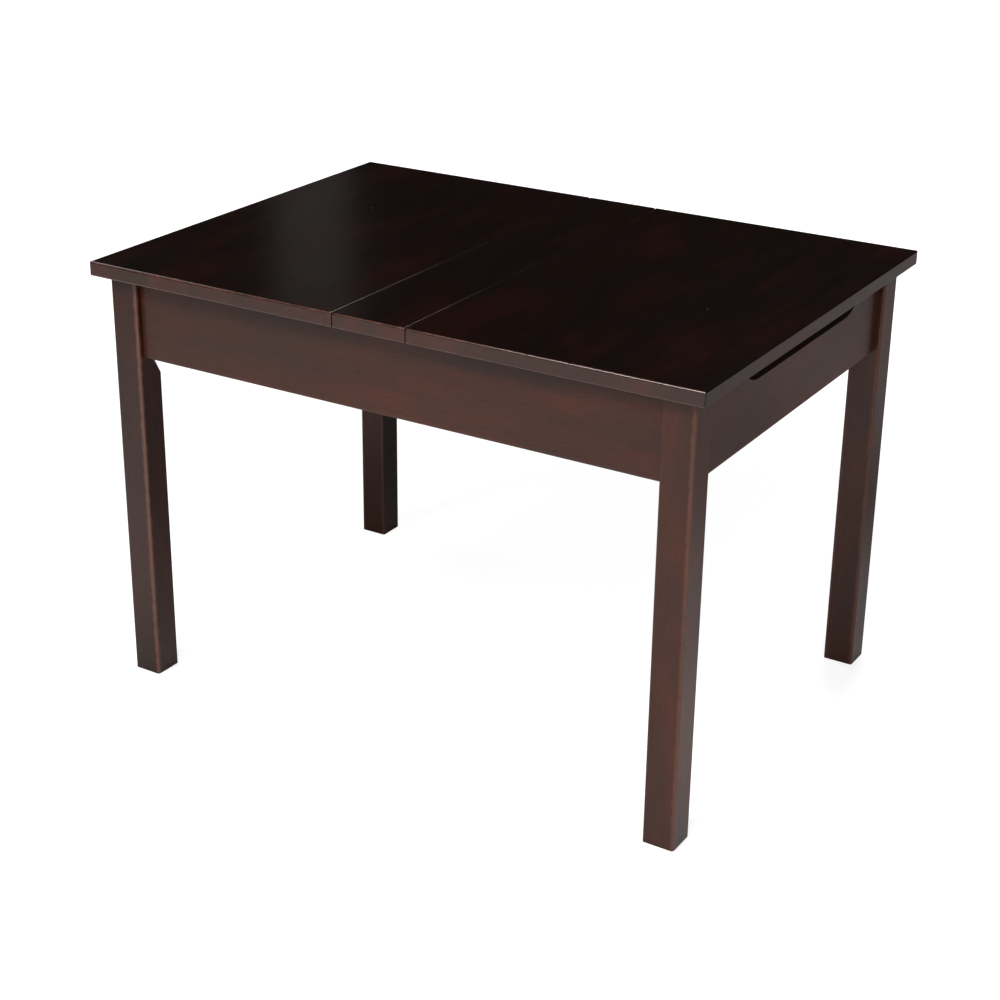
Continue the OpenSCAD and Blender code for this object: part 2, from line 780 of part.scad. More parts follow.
// Plate on the back apron with the rivet that the lower bar turns on
module stay_plate(s) {
  head_y = lower_bar_y - rivet_head_gap;
  x0 = bin_rivet.x - stay_eye_r;
  z0 = bin_rivet.y - stay_plate_h / 2;
  color(zinc) on_hinge_axis(s) {
    difference() {
      along_y(stay_plate_y, bin_y)
        soft_rect([x0, z0], [x0 + stay_plate_l, z0 + stay_plate_h], [1, 1, 1, 1] * stay_plate_r);
      stay_plate_screw_spots() screw_hole(stay_screw_l, small_screw_d, small_head_d, small_head_h);
    }
    at_rivet(bin_rivet, head_y, stay_plate_y, rivet_d / 2);
    at_rivet(bin_rivet, head_y - rivet_head_h, head_y, rivet_head_d / 2);
  }
}

// Places of the plate screws, measured from the virtual hinge axis
module stay_plate_screw_spots() {
  x = bin_rivet.x - stay_eye_r + stay_plate_l - stay_plate_screw_inset;
  for (side = [-1, 1])
    translate([x, stay_plate_y, bin_rivet.y + side * stay_plate_screw_dz]) rotate([90, 0, 0]) children();
}

module stay_plate_screw_holes() {
  for (s = [-1, 1]) on_hinge_axis(s) stay_plate_screw_spots()
    screw_hole(stay_screw_l, small_screw_d, small_head_d, small_head_h);
}

module stay_plate_screws() {
  color(zinc) for (s = [-1, 1]) on_hinge_axis(s) stay_plate_screw_spots()
    screw(stay_screw_l, small_screw_d, small_head_d, small_head_h);
}

// Angle bracket under the lid with the rivet that the upper bar turns on
module stay_bracket(s) {
  head_y = upper_bar_y + stay_t + rivet_head_gap;
  x0 = lid_rivet.x - stay_flange_l / 2;
  color(zinc) on_side(s) difference() {
    translate([crack_x, 0, table_h]) {
      along_y(stay_ear_y, stay_ear_y + stay_t) {
        translate(lid_rivet) circle(stay_eye_r);
        translate([lid_rivet.x - stay_w / 2, lid_rivet.y]) square([stay_w, -top_t - lid_rivet.y]);
      }
      translate([x0, stay_ear_y + stay_t - stay_flange_w, -top_t - stay_t])
        cube([stay_flange_l, stay_flange_w, stay_t]);
      at_rivet(lid_rivet, stay_ear_y + stay_t, head_y, rivet_d / 2);
      at_rivet(lid_rivet, head_y, head_y + rivet_head_h, rivet_head_d / 2);
    }
    stay_bracket_screw_places() screw_hole(stay_screw_l, small_screw_d, small_head_d, small_head_h);
  }
}

// Places of the bracket screws on the right, pointing up into the lid
module stay_bracket_screw_places() {
  y = stay_ear_y + stay_t - stay_flange_w / 2;
  for (side = [-1, 1])
    translate([crack_x + lid_rivet.x + side * stay_bracket_screw_dx, y, top_under - stay_t])
      rotate([180, 0, 0]) children();
}

module stay_bracket_screws(s) {
  color(zinc) on_side(s) stay_bracket_screw_places()
    screw(stay_screw_l, small_screw_d, small_head_d, small_head_h);
}

// Lower bar with the elbow rivet and the stop that the upper bar meets
module stay_lower_bar(s) {
  tip = elbow + stop_reach * [cos(stop_angle - stay_lid_angle), sin(stop_angle - stay_lid_angle)];
  head_y = upper_bar_y - rivet_head_gap;
  color(zinc) on_hinge_axis(s) {
    difference() {
      along_y(lower_bar_y, lower_bar_y + stay_t) {
        bar_outline(bin_rivet, elbow);
        stop_tongue(tip);
      }
      at_rivet(bin_rivet, lower_bar_y - cut, lower_bar_y + stay_t + cut, rivet_d / 2 + turn_fit);
    }
    at_rivet(elbow, head_y, lower_bar_y, rivet_d / 2);
    at_rivet(elbow, head_y - rivet_head_h, head_y, rivet_head_d / 2);
    at_rivet(tip, upper_bar_y, lower_bar_y, stop_d / 2);
  }
}

// Short square tongue of the lower bar, from the elbow past the stop at its tip
module stop_tongue(tip) {
  run = tip - elbow;
  translate(elbow) rotate(atan2(run.y, run.x)) translate([0, -stop_tongue_w / 2])
    square([norm(run) + stop_tongue_w / 2, stop_tongue_w]);
}

// Upper bar between the elbow rivet and the lid bracket
module stay_upper_bar(s) {
  color(zinc) on_hinge_axis(s) difference() {
    along_y(upper_bar_y, upper_bar_y + stay_t) bar_outline(elbow, lid_rivet);
    for (p = [elbow, lid_rivet])
      at_rivet(p, upper_bar_y - cut, upper_bar_y + stay_t + cut, rivet_d / 2 + turn_fit);
  }
}

lid(-1);  // lid_left
lid(1);  // lid_right
centre_strip();
leg(-1, -1);  // leg_front_left
leg(1, -1);  // leg_front_right
leg(-1, 1);  // leg_back_left
leg(1, 1);  // leg_back_right
long_apron(-1);  // apron_front
long_apron(1);  // apron_back
end_apron(-1);  // apron_left
end_apron(1);  // apron_right
divider(-1);  // divider_left
divider(1);  // divider_right
bin_floor(-1);  // bin_floor_left
bin_floor(1);  // bin_floor_right
floor_cleats(-1);  // floor_cleats_left
floor_cleats(1);  // floor_cleats_right
strip_cleats();
corner_brace(-1, -1);  // corner_brace_front_left
corner_brace(1, -1);  // corner_brace_front_right
corner_brace(-1, 1);  // corner_brace_back_left
corner_brace(1, 1);  // corner_brace_back_right
hanger_bolts();
bolt_washers();
bolt_nuts();
dowels();
brace_screws();
cleat_screws();
floor_screws();
strip_screws();
hinge_cups_strip();
hinge_cups(-1);  // hinge_cups_left
hinge_cups(1);  // hinge_cups_right
hinge_pins_strip();
hinge_pins(-1);  // hinge_pins_left
hinge_pins(1);  // hinge_pins_right
hinge_screws_strip();
hinge_screws(-1);  // hinge_screws_left
hinge_screws(1);  // hinge_screws_right
hinge_outer_links(-1);  // hinge_outer_links_left
hinge_outer_links(1);  // hinge_outer_links_right
hinge_inner_links(-1);  // hinge_inner_links_left
hinge_inner_links(1);  // hinge_inner_links_right
stay_plate(-1);  // stay_plate_left
stay_plate(1);  // stay_plate_right
stay_plate_screws();
stay_bracket(-1);  // stay_bracket_left
stay_bracket(1);  // stay_bracket_right
stay_bracket_screws(-1);  // stay_bracket_screws_left
stay_bracket_screws(1);  // stay_bracket_screws_right
stay_lower_bar(-1);  // stay_lower_bar_left
stay_lower_bar(1);  // stay_lower_bar_right
stay_upper_bar(-1);  // stay_upper_bar_left
stay_upper_bar(1);  // stay_upper_bar_right
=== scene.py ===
import math
import bpy
import numpy as np
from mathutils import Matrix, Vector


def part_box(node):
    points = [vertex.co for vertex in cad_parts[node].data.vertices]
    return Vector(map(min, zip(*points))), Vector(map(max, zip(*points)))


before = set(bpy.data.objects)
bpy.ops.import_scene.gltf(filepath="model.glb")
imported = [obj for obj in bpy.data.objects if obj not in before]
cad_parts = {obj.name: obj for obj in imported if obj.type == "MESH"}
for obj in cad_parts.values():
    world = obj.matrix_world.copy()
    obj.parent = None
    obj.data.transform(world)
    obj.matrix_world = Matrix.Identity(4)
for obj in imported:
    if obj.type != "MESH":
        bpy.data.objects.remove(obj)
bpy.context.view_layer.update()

# Camera at the photograph's place

camera = {
    "place": (1.1813, -1.9618, 1.2401),
    "yaw": 33.10,          # degrees, turned left from looking along +Y
    "pitch": 22.62,        # degrees below the level line
    "lens": 70.38,
    "sensor": 36.0,
    "shift": (0.06, -0.04),
    "farthest": 500.0,
}


def addCamera(settings):
    lensData = bpy.data.cameras.new("photoCamera")
    lensData.lens = settings["lens"]
    lensData.sensor_width = settings["sensor"]
    lensData.shift_x, lensData.shift_y = settings["shift"]
    lensData.clip_end = settings["farthest"]
    cameraObject = bpy.data.objects.new("photoCamera", lensData)
    cameraObject.location = settings["place"]
    cameraObject.rotation_euler = (math.radians(90 - settings["pitch"]), 0, math.radians(settings["yaw"]))
    bpy.context.scene.collection.objects.link(cameraObject)
    bpy.context.scene.camera = cameraObject


addCamera(camera)
bpy.context.scene.view_settings.view_transform = "Standard"
print("camera placed")

# Small helpers for node trees


def feed(tree, value, socket):
    # The output of a node is linked, and a plain value becomes the socket's own
    if isinstance(value, bpy.types.NodeSocket):
        tree.links.new(value, socket)
    else:
        socket.default_value = value


def addNode(tree, kind, **values):
    node = tree.nodes.new(kind)
    for key, value in values.items():
        if key in node.inputs:
            node.inputs[key].default_value = value
        else:
            setattr(node, key, value)
    return node


def mathNode(tree, operation, a, b=None, c=None, clamp=False):
    node = addNode(tree, "ShaderNodeMath", operation=operation, use_clamp=clamp)
    for i, value in enumerate((a, b, c)):
        if value is not None:
            feed(tree, value, node.inputs[i])
    return node.outputs[0]


def vectorNode(tree, operation, a, b=None):
    node = addNode(tree, "ShaderNodeVectorMath", operation=operation)
    for i, value in enumerate((a, b)):
        if value is not None:
            feed(tree, value, node.inputs[i])
    return node.outputs["Value" if operation == "LENGTH" else "Vector"]


def splitVector(tree, vector):
    node = addNode(tree, "ShaderNodeSeparateXYZ")
    feed(tree, vector, node.inputs[0])
    return [node.outputs[axis] for axis in "XYZ"]


def joinVector(tree, x, y, z=0.0):
    node = addNode(tree, "ShaderNodeCombineXYZ")
    for axis, value in zip("XYZ", (x, y, z)):
        feed(tree, value, node.inputs[axis])
    return node.outputs[0]


# Places of the factor, the two entries and the result among the sockets of a Mix node
mixSockets = {"FLOAT": (0, 2, 3, 0), "RGBA": (0, 6, 7, 2)}


def mixNode(tree, kind, factor, a, b):
    node = addNode(tree, "ShaderNodeMix", data_type=kind)
    *entries, result = mixSockets[kind]
    for i, value in zip(entries, (factor, a, b)):
        feed(tree, value, node.inputs[i])
    return node.outputs[result]


def mixColour(tree, factor, a, b):
    a, b = ((*value, 1.0) if isinstance(value, tuple) else value for value in (a, b))
    return mixNode(tree, "RGBA", factor, a, b)


def coverWith(tree, colour, cover, mask, strength):
    return mixColour(tree, mathNode(tree, "MULTIPLY", mask, strength), colour, cover)


def smoothBetween(tree, value, low, high, out=(0.0, 1.0)):
    node = addNode(tree, "ShaderNodeMapRange", interpolation_type="SMOOTHSTEP")
    for name, entry in (("Value", value), ("From Min", low), ("From Max", high),
                        ("To Min", out[0]), ("To Max", out[1])):
        feed(tree, entry, node.inputs[name])
    return node.outputs["Result"]


def spreadBy(tree, level, noise, spread):
    # Level plus noise times spread, where a noise of one half changes nothing
    return mathNode(tree, "ADD", mathNode(tree, "MULTIPLY_ADD", noise, spread, -spread / 2), level)


def noiseFrom(tree, vector, form):
    noise = addNode(tree, "ShaderNodeTexNoise", Scale=1.0, Detail=form["detail"],
                    Roughness=form["roughness"])
    feed(tree, vectorNode(tree, "MULTIPLY", vector, form["scale"]), noise.inputs["Vector"])
    return noise.outputs["Fac"]


def distanceFrom(tree, place, x, y):
    return vectorNode(tree, "LENGTH", vectorNode(tree, "SUBTRACT", place, (x, y, 0.0)))


def mirrorRays(tree, rays):
    return mathNode(tree, "MAXIMUM", rays["Is Glossy Ray"], rays["Is Transmission Ray"])


def addBump(tree, shader, height, distance):
    bump = addNode(tree, "ShaderNodeBump", Strength=1.0, Distance=distance)
    feed(tree, height, bump.inputs["Height"])
    feed(tree, bump.outputs[0], shader.inputs["Normal"])


floatKind, vectorKind = "NodeSocketFloat", "NodeSocketVector"


def newGroup(name, inputs, outputs):
    group = bpy.data.node_groups.new(name, "ShaderNodeTree")
    for label, kind in inputs.items():
        group.interface.new_socket(label, in_out="INPUT", socket_type=kind)
    for label in outputs:
        group.interface.new_socket(label, in_out="OUTPUT", socket_type=floatKind)
    return group, group.nodes.new("NodeGroupInput").outputs, group.nodes.new("NodeGroupOutput").inputs


def placeGroup(tree, group, **values):
    node = addNode(tree, "ShaderNodeGroup", node_tree=group)
    for key, value in values.items():
        feed(tree, value, node.inputs[key.replace("_", " ")])
    return node.outputs


def newMaterial(name):
    material = bpy.data.materials.new(name)
    material.use_nodes = True
    tree = material.node_tree
    place = addNode(tree, "ShaderNodeTexCoord").outputs["Object"]
    return material, tree, tree.nodes["Principled BSDF"], place


def srgb(r, g, b):
    # Linear colour of three screen values from 0 to 255
    return tuple(v / 255 / 12.92 if v < 10.3 else ((v / 255 + 0.055) / 1.055) ** 2.4 for v in (r, g, b))


# Wood with its fibres along Z of the given coordinates. Ring is the share of dark late wood at a distance
# from a wavy heart line, Fibre is noise drawn out along Z, Pore marks short dark dashes, Blotch is broad
# uneven stain, Cloud is wider still, and Stave is one value per glued stave.

grainForm = {
    "seedJitter": 0.37,              # staves by which one unit of seed moves the joints between staves
    "seedShift": (1.7, 2.9),         # metres by which one unit of seed moves the wood across its fibres
    "staveShift": 3.0,               # largest move of one stave along its fibres
    "wave": {"scale": (14.0, 14.0, 1.6), "detail": 2.0, "roughness": 0.5},
    "waveHeight": 0.028,
    "heartX": (0.16, -0.08),         # how far the heart line strays from stave to stave, and from where
    "heartY": (0.05, 0.055),
    "ringRise": (0.15, 0.85),        # shares of one ring's width
    "ringFall": (0.88, 1.0),
    "fibre": {"scale": (520.0, 520.0, 16.0), "detail": 4.0, "roughness": 0.62},
    "poreScale": (620.0, 620.0, 62.0),
    "poreRim": (0.16, 0.30),
    "blotch": {"scale": (30.0, 30.0, 7.0), "detail": 3.0, "roughness": 0.55},
    "cloud": {"scale": (11.0, 11.0, 5.0), "detail": 2.0, "roughness": 0.5},
}


def makeGrainGroup(form):
    group, given, made = newGroup(
        "woodGrain",
        {"Vector": vectorKind, "Seed": floatKind, "Stave Width": floatKind, "Ring Spacing": floatKind},
        ("Ring", "Fibre", "Pore", "Blotch", "Cloud", "Stave"))
    # Random values for each stave
    x, y, _ = splitVector(group, given["Vector"])
    count = mathNode(group, "DIVIDE", x, given["Stave Width"])
    jitter = mathNode(group, "MULTIPLY", given["Seed"], form["seedJitter"])
    stave = mathNode(group, "FLOOR", mathNode(group, "ADD", count, jitter))
    dice = addNode(group, "ShaderNodeTexWhiteNoise", noise_dimensions="2D")
    feed(group, joinVector(group, stave, given["Seed"]), dice.inputs["Vector"])
    feed(group, dice.outputs["Value"], made["Stave"])
    first, second, third = splitVector(group, dice.outputs["Color"])
    # Coordinates shifted by the seed and the stave, so that no two boards match
    shiftX, shiftY = (mathNode(group, "MULTIPLY", given["Seed"], step) for step in form["seedShift"])
    shiftZ = mathNode(group, "MULTIPLY", first, form["staveShift"])
    moved = vectorNode(group, "ADD", given["Vector"], joinVector(group, shiftX, shiftY, shiftZ))
    wave = noiseFrom(group, moved, form["wave"])
    bend = mathNode(group, "MULTIPLY", mathNode(group, "SUBTRACT", wave, 0.5), form["waveHeight"])
    # Rings by the distance from the heart line of the tree
    heartX = mathNode(group, "ADD", x, mathNode(group, "MULTIPLY_ADD", second, *form["heartX"]))
    heartY = mathNode(group, "ADD", y, mathNode(group, "MULTIPLY_ADD", third, *form["heartY"]))
    radius = mathNode(group, "ADD", vectorNode(group, "LENGTH", joinVector(group, heartX, heartY)), bend)
    phase = mathNode(group, "FRACT", mathNode(group, "DIVIDE", radius, given["Ring Spacing"]))
    rise = smoothBetween(group, phase, *form["ringRise"])
    fall = smoothBetween(group, phase, *form["ringFall"], out=(1.0, 0.0))
    feed(group, mathNode(group, "MULTIPLY", rise, fall), made["Ring"])
    dashes = addNode(group, "ShaderNodeTexVoronoi", Scale=1.0, Randomness=1.0)
    feed(group, vectorNode(group, "MULTIPLY", moved, form["poreScale"]), dashes.inputs["Vector"])
    pore = smoothBetween(group, dashes.outputs["Distance"], *form["poreRim"], out=(1.0, 0.0))
    feed(group, pore, made["Pore"])
    for label in ("Fibre", "Blotch", "Cloud"):
        feed(group, noiseFrom(group, moved, form[label.lower()]), made[label])
    return group


# Share of rubbed edge, partly painted highlight, on a board that fills the box from Low to High. The
# smallest of the three distances to the box's walls is the face itself, the middle one is the distance to
# the nearest edge, and the mask falls from 1 to 0 over Width with an uneven border.

wearForm = {
    "uneven": {"scale": (90.0, 90.0, 90.0), "detail": 3.0, "roughness": 0.6},
    "reach": (1.4, 0.2),             # share of Width that the noise adds, and the least share
}


def makeEdgeGroup(form):
    group, given, made = newGroup(
        "edgeWearAndHighlight",
        {"Vector": vectorKind, "Low": vectorKind, "High": vectorKind, "Width": floatKind},
        ("Edge",))
    below = vectorNode(group, "SUBTRACT", given["Vector"], given["Low"])
    above = vectorNode(group, "SUBTRACT", given["High"], given["Vector"])
    x, y, z = splitVector(group, vectorNode(group, "MINIMUM", below, above))
    lowPair = mathNode(group, "MINIMUM", x, y)
    highPair = mathNode(group, "MAXIMUM", x, y)
    middle = mathNode(group, "MAXIMUM", lowPair, mathNode(group, "MINIMUM", highPair, z))
    uneven = noiseFrom(group, given["Vector"], form["uneven"])
    share = mathNode(group, "MULTIPLY_ADD", uneven, *form["reach"])
    reach = mathNode(group, "MULTIPLY", given["Width"], share)
    feed(group, smoothBetween(group, middle, 0.0, reach, out=(1.0, 0.0)), made["Edge"])
    return group


# Sparse pale specks, from the few cells of a fine Voronoi whose random value is near 1


def makeDustGroup():
    group, given, made = newGroup(
        "dustSpecks",
        {"Vector": vectorKind, "Scale": floatKind, "Share": floatKind, "Size": floatKind},
        ("Speck",))
    cells = addNode(group, "ShaderNodeTexVoronoi", Randomness=1.0)
    feed(group, given["Vector"], cells.inputs["Vector"])
    feed(group, given["Scale"], cells.inputs["Scale"])
    chance = splitVector(group, cells.outputs["Color"])[0]
    limit = mathNode(group, "SUBTRACT", 1.0, given["Share"])
    chosen = mathNode(group, "GREATER_THAN", chance, limit)
    dot = smoothBetween(group, cells.outputs["Distance"], 0.0, given["Size"], out=(1.0, 0.0))
    feed(group, mathNode(group, "MULTIPLY", chosen, dot), made["Speck"])
    return group


grainGroup = makeGrainGroup(grainForm)
edgeGroup = makeEdgeGroup(wearForm)
dustGroup = makeDustGroup()

# Turns that bring the fibre direction of a board to Z

fibreTurn = {
    "x": (0.0, math.radians(90), 0.0),
    "y": (math.radians(90), 0.0, 0.0),
    "z": (0.0, 0.0, 0.0),
}

frameStain = {
    "base": srgb(59, 28, 15),
    "dark": srgb(36, 21, 14),
    "red": srgb(73, 30, 17),
    "rubbedAndHighlight": srgb(126, 88, 74),
    "dust": srgb(196, 184, 172),
    "roughness": 0.32,
    "specular": 0.30,
    "staveWidth": 0.4,
    "staveTone": 0.14,
    "ringSpacing": 0.007,
    "blotchRange": (0.35, 0.68),     # noise values between which a feature grows to its full strength
    "cloudRange": (0.36, 0.64),
    "fibreRange": (0.42, 0.72),
    "cloudStrength": 0.50,
    "ringStrength": 0.09,
    "fibreStrength": 0.20,
    "poreStrength": 0.24,
    "poreTone": 0.45,                # colour of a pore as a share of the dark colour
    "edgeWidth": 0.0066,
    "edgeStrength": 0.30,
    "dustScale": 95.0,
    "dustShare": 0.006,
    "dustSize": 0.10,
    "dustStrength": 0.6,
    "fibreRoughness": 0.14,          # how far each noise spreads the roughness
    "blotchRoughness": 0.10,
    "dustRoughness": 0.3,
    "fibreHeight": 0.5,              # height of a fibre as a share of a pore's depth
    "bump": 0.00008,
}
# The lids' front edge is strongly pale, partly rubbed wear and partly painted highlight
topStain = dict(frameStain, base=srgb(50, 26, 15), red=srgb(64, 27, 16), staveWidth=0.062,
                ringSpacing=0.0085, edgeWidth=0.0022, edgeStrength=0.66, specular=0.44)
# The upper faces of the lids and the strip are smoother and glossier than the rest, and their colours are
# far darker as painted shade, though the stain is the same as on the sides. The band gives the depths below
# the top at which this starts and is full.
topGlossAndShade = dict(topStain, base=srgb(20, 11, 8), dark=srgb(12, 8, 6), red=srgb(30, 11, 8),
               roughness=0.17, poreStrength=0.2, relief=0.22, band=(0.0022, 0.0012))
innerStain = dict(frameStain, base=srgb(48, 32, 26), dark=srgb(34, 23, 18), red=srgb(56, 34, 27),
                  rubbedAndHighlight=srgb(92, 64, 50), roughness=0.58, edgeStrength=0.25)


# The base colour goes redder with blotches and staves, darker with clouds, late wood, fibres and pores, and
# paler on rubbed edges, which are partly painted highlight, and on dust


def stainColour(tree, stain, grain, edge, dust):
    staveTone = smoothBetween(tree, grain["Stave"], 0.0, 1.0, out=(-stain["staveTone"], stain["staveTone"]))
    blotches = smoothBetween(tree, grain["Blotch"], *stain["blotchRange"])
    redness = mathNode(tree, "ADD", blotches, staveTone, clamp=True)
    colour = mixColour(tree, redness, stain["base"], stain["red"])
    clouds = smoothBetween(tree, grain["Cloud"], *stain["cloudRange"], out=(0.0, stain["cloudStrength"]))
    colour = mixColour(tree, clouds, colour, stain["dark"])
    colour = coverWith(tree, colour, stain["dark"], grain["Ring"], stain["ringStrength"])
    fibres = smoothBetween(tree, grain["Fibre"], *stain["fibreRange"], out=(0.0, stain["fibreStrength"]))
    colour = mixColour(tree, fibres, colour, stain["dark"])
    poreColour = tuple(v * stain["poreTone"] for v in stain["dark"])
    colour = coverWith(tree, colour, poreColour, grain["Pore"], stain["poreStrength"])
    colour = coverWith(tree, colour, stain["rubbedAndHighlight"], edge["Edge"], stain["edgeStrength"])
    return coverWith(tree, colour, stain["dust"], dust["Speck"], stain["dustStrength"])


# Stained wood with satin lacquer, whose height is fibre less pore. A shaded top face, where given, covers
# the top of the box and its rounded edges with far darker colours as painted shade, and with its own
# roughness and relief. A cut, where given, colours what is sawn through the box along X with a painted grey
# sheen, except near the bottom of the box. The margin moves the two corners of the box for the rubbed edges,
# which are partly painted highlight.


def woodMaterial(name, stain, fibres, seed, box, shadedTopFace, cut, margin):
    material, tree, shader, place = newMaterial(name)
    turn = addNode(tree, "ShaderNodeMapping", vector_type="POINT")
    turn.inputs["Rotation"].default_value = fibreTurn[fibres]
    feed(tree, place, turn.inputs["Vector"])
    grain = placeGroup(tree, grainGroup, Vector=turn.outputs[0], Seed=seed,
                       Stave_Width=stain["staveWidth"], Ring_Spacing=stain["ringSpacing"])
    low, high = box
    wearLow, wearHigh = (tuple(a + b for a, b in zip(corner, move)) for corner, move in zip(box, margin))
    edge = placeGroup(tree, edgeGroup, Vector=place, Low=wearLow, High=wearHigh, Width=stain["edgeWidth"])
    dust = placeGroup(tree, dustGroup, Vector=place, Scale=stain["dustScale"], Share=stain["dustShare"],
                      Size=stain["dustSize"])
    colour = stainColour(tree, stain, grain, edge, dust)
    level = stain["roughness"]
    relief = 1.0
    if shadedTopFace:
        z = splitVector(tree, place)[2]
        # painted shade: the top face and its rounded edges take far darker colours than the sides
        shadedTopMask = smoothBetween(tree, z, *(high[2] - depth for depth in shadedTopFace["band"]))
        colour = mixColour(tree, shadedTopMask, colour, stainColour(tree, shadedTopFace, grain, edge, dust))
        level = mathNode(tree, "MULTIPLY_ADD", shadedTopMask, shadedTopFace["roughness"] - level, level)
        relief = mathNode(tree, "MULTIPLY_ADD", shadedTopMask, shadedTopFace["relief"] - 1.0, 1.0)
    if cut:
        x, _, z = splitVector(tree, place)
        inward = mathNode(tree, "MINIMUM", mathNode(tree, "SUBTRACT", x, low[0]),
                          mathNode(tree, "SUBTRACT", high[0], x))
        clear = smoothBetween(tree, z, *(low[2] + rise for rise in cut["rise"]))
        inCut = mathNode(tree, "MULTIPLY", smoothBetween(tree, inward, *cut["depth"]), clear)
        # painted sheen: the sawn faces of the slot take a greyer colour
        colour = mixColour(tree, inCut, colour, cut["colour"])
    feed(tree, colour, shader.inputs["Base Color"])
    rough = spreadBy(tree, level, grain["Fibre"], stain["fibreRoughness"])
    rough = spreadBy(tree, rough, grain["Blotch"], stain["blotchRoughness"])
    rough = mathNode(tree, "MULTIPLY_ADD", dust["Speck"], stain["dustRoughness"], rough)
    feed(tree, rough, shader.inputs["Roughness"])
    shader.inputs["Specular IOR Level"].default_value = stain["specular"]
    fibreHeight = mathNode(tree, "MULTIPLY", grain["Fibre"], stain["fibreHeight"])
    height = mathNode(tree, "SUBTRACT", fibreHeight, grain["Pore"])
    addBump(tree, shader, mathNode(tree, "MULTIPLY", height, relief), stain["bump"])
    return material


# Plated steel: fine brushed noise in the colour and the roughness, cloudy tarnish in broad noise

zincPlate = {
    "pale": srgb(196, 198, 202),
    "dull": srgb(150, 152, 156),
    "roughness": 0.34,
    "cloud": {"scale": (160.0, 160.0, 160.0), "detail": 4.0, "roughness": 0.6},
    "brush": {"scale": (900.0, 900.0, 60.0), "detail": 3.0, "roughness": 0.6},
    "cloudRange": (0.38, 0.72),
    "brushRange": (0.4, 0.7),
    "brushStrength": 0.35,
    "cloudRoughness": 0.14,
    "brushRoughness": 0.20,
    "bump": 0.00002,
}
bronzePlate = dict(zincPlate, pale=srgb(128, 112, 98), dull=srgb(84, 70, 60), roughness=0.36,
                   brush={"scale": (60.0, 900.0, 900.0), "detail": 3.0, "roughness": 0.6})


def metalMaterial(name, plate):
    material, tree, shader, place = newMaterial(name)
    lines = noiseFrom(tree, place, plate["brush"])
    tarnish = smoothBetween(tree, noiseFrom(tree, place, plate["cloud"]), *plate["cloudRange"])
    tone = mixColour(tree, tarnish, plate["pale"], plate["dull"])
    brushed = smoothBetween(tree, lines, *plate["brushRange"], out=(0.0, plate["brushStrength"]))
    feed(tree, mixColour(tree, brushed, tone, plate["dull"]), shader.inputs["Base Color"])
    shader.inputs["Metallic"].default_value = 1.0
    rough = spreadBy(tree, plate["roughness"], lines, plate["brushRoughness"])
    rough = mathNode(tree, "MULTIPLY_ADD", tarnish, plate["cloudRoughness"], rough)
    feed(tree, rough, shader.inputs["Roughness"])
    addBump(tree, shader, lines, plate["bump"])
    return material


# Bare beech: pale brown with short darker flecks along the dowel

bareBeech = {
    "pale": srgb(208, 176, 134),
    "ring": srgb(176, 138, 96),
    "fleck": srgb(128, 90, 58),
    "seed": 7.0,
    "staveWidth": 0.05,
    "ringSpacing": 0.002,
    "ringStrength": 0.5,
    "fleckStrength": 0.6,
    "roughness": (0.2, 0.5),         # what the fibre noise adds, and the least
}


def dowelMaterial(name, wood):
    material, tree, shader, place = newMaterial(name)
    grain = placeGroup(tree, grainGroup, Vector=place, Seed=wood["seed"],
                       Stave_Width=wood["staveWidth"], Ring_Spacing=wood["ringSpacing"])
    colour = coverWith(tree, wood["pale"], wood["ring"], grain["Ring"], wood["ringStrength"])
    colour = coverWith(tree, colour, wood["fleck"], grain["Pore"], wood["fleckStrength"])
    feed(tree, colour, shader.inputs["Base Color"])
    rough = mathNode(tree, "MULTIPLY_ADD", grain["Fibre"], *wood["roughness"])
    feed(tree, rough, shader.inputs["Roughness"])
    return material


# Fibre direction and seed of each board

topBoards = {"lid_left": ("y", 3.0), "lid_right": ("y", 11.0), "centre_strip": ("y", 5.0)}
frameBoards = {
    "leg_front_left": ("z", 2.0), "leg_front_right": ("z", 13.0), "leg_back_left": ("z", 17.0),
    "leg_back_right": ("z", 19.0), "apron_front": ("x", 23.0), "apron_back": ("x", 29.0),
    "apron_left": ("y", 31.0), "apron_right": ("y", 37.0),
}
innerBoards = {
    "divider_left": ("y", 41.0), "divider_right": ("y", 43.0), "bin_floor_left": ("x", 47.0),
    "bin_floor_right": ("x", 53.0), "floor_cleats_left": ("x", 59.0), "floor_cleats_right": ("x", 61.0),
    "strip_cleats": ("y", 67.0), "corner_brace_front_left": ("x", 71.0),
    "corner_brace_front_right": ("x", 73.0), "corner_brace_back_left": ("x", 79.0),
    "corner_brace_back_right": ("x", 83.0),
}
# Each board's colours are multiplied by its tone, which is partly the board's own stain, for no two boards
# took it alike, and
# partly painted light and shade: the front right leg lighter where light falls on it, the other legs darker,
# the back left one darkest
boardToneAndShade = {
    "leg_front_left": 0.65, "leg_front_right": 1.20, "leg_back_left": 0.54, "leg_back_right": 0.88,
    "apron_front": 1.12, "apron_back": 0.95, "apron_left": 0.92, "lid_left": 1.02, "centre_strip": 1.06,
}
tonedColours = ("base", "dark", "red")
# The front legs get more pale rubbed edge, partly wear and partly painted highlight, than the others, and
# the aprons hardly any
boardWearAndHighlight = {
    "leg_front_left": 0.62, "leg_front_right": 0.42, "leg_back_left": 0.20, "leg_back_right": 0.26,
    "apron_front": 0.06, "apron_back": 0.06, "apron_left": 0.06, "apron_right": 0.06,
}
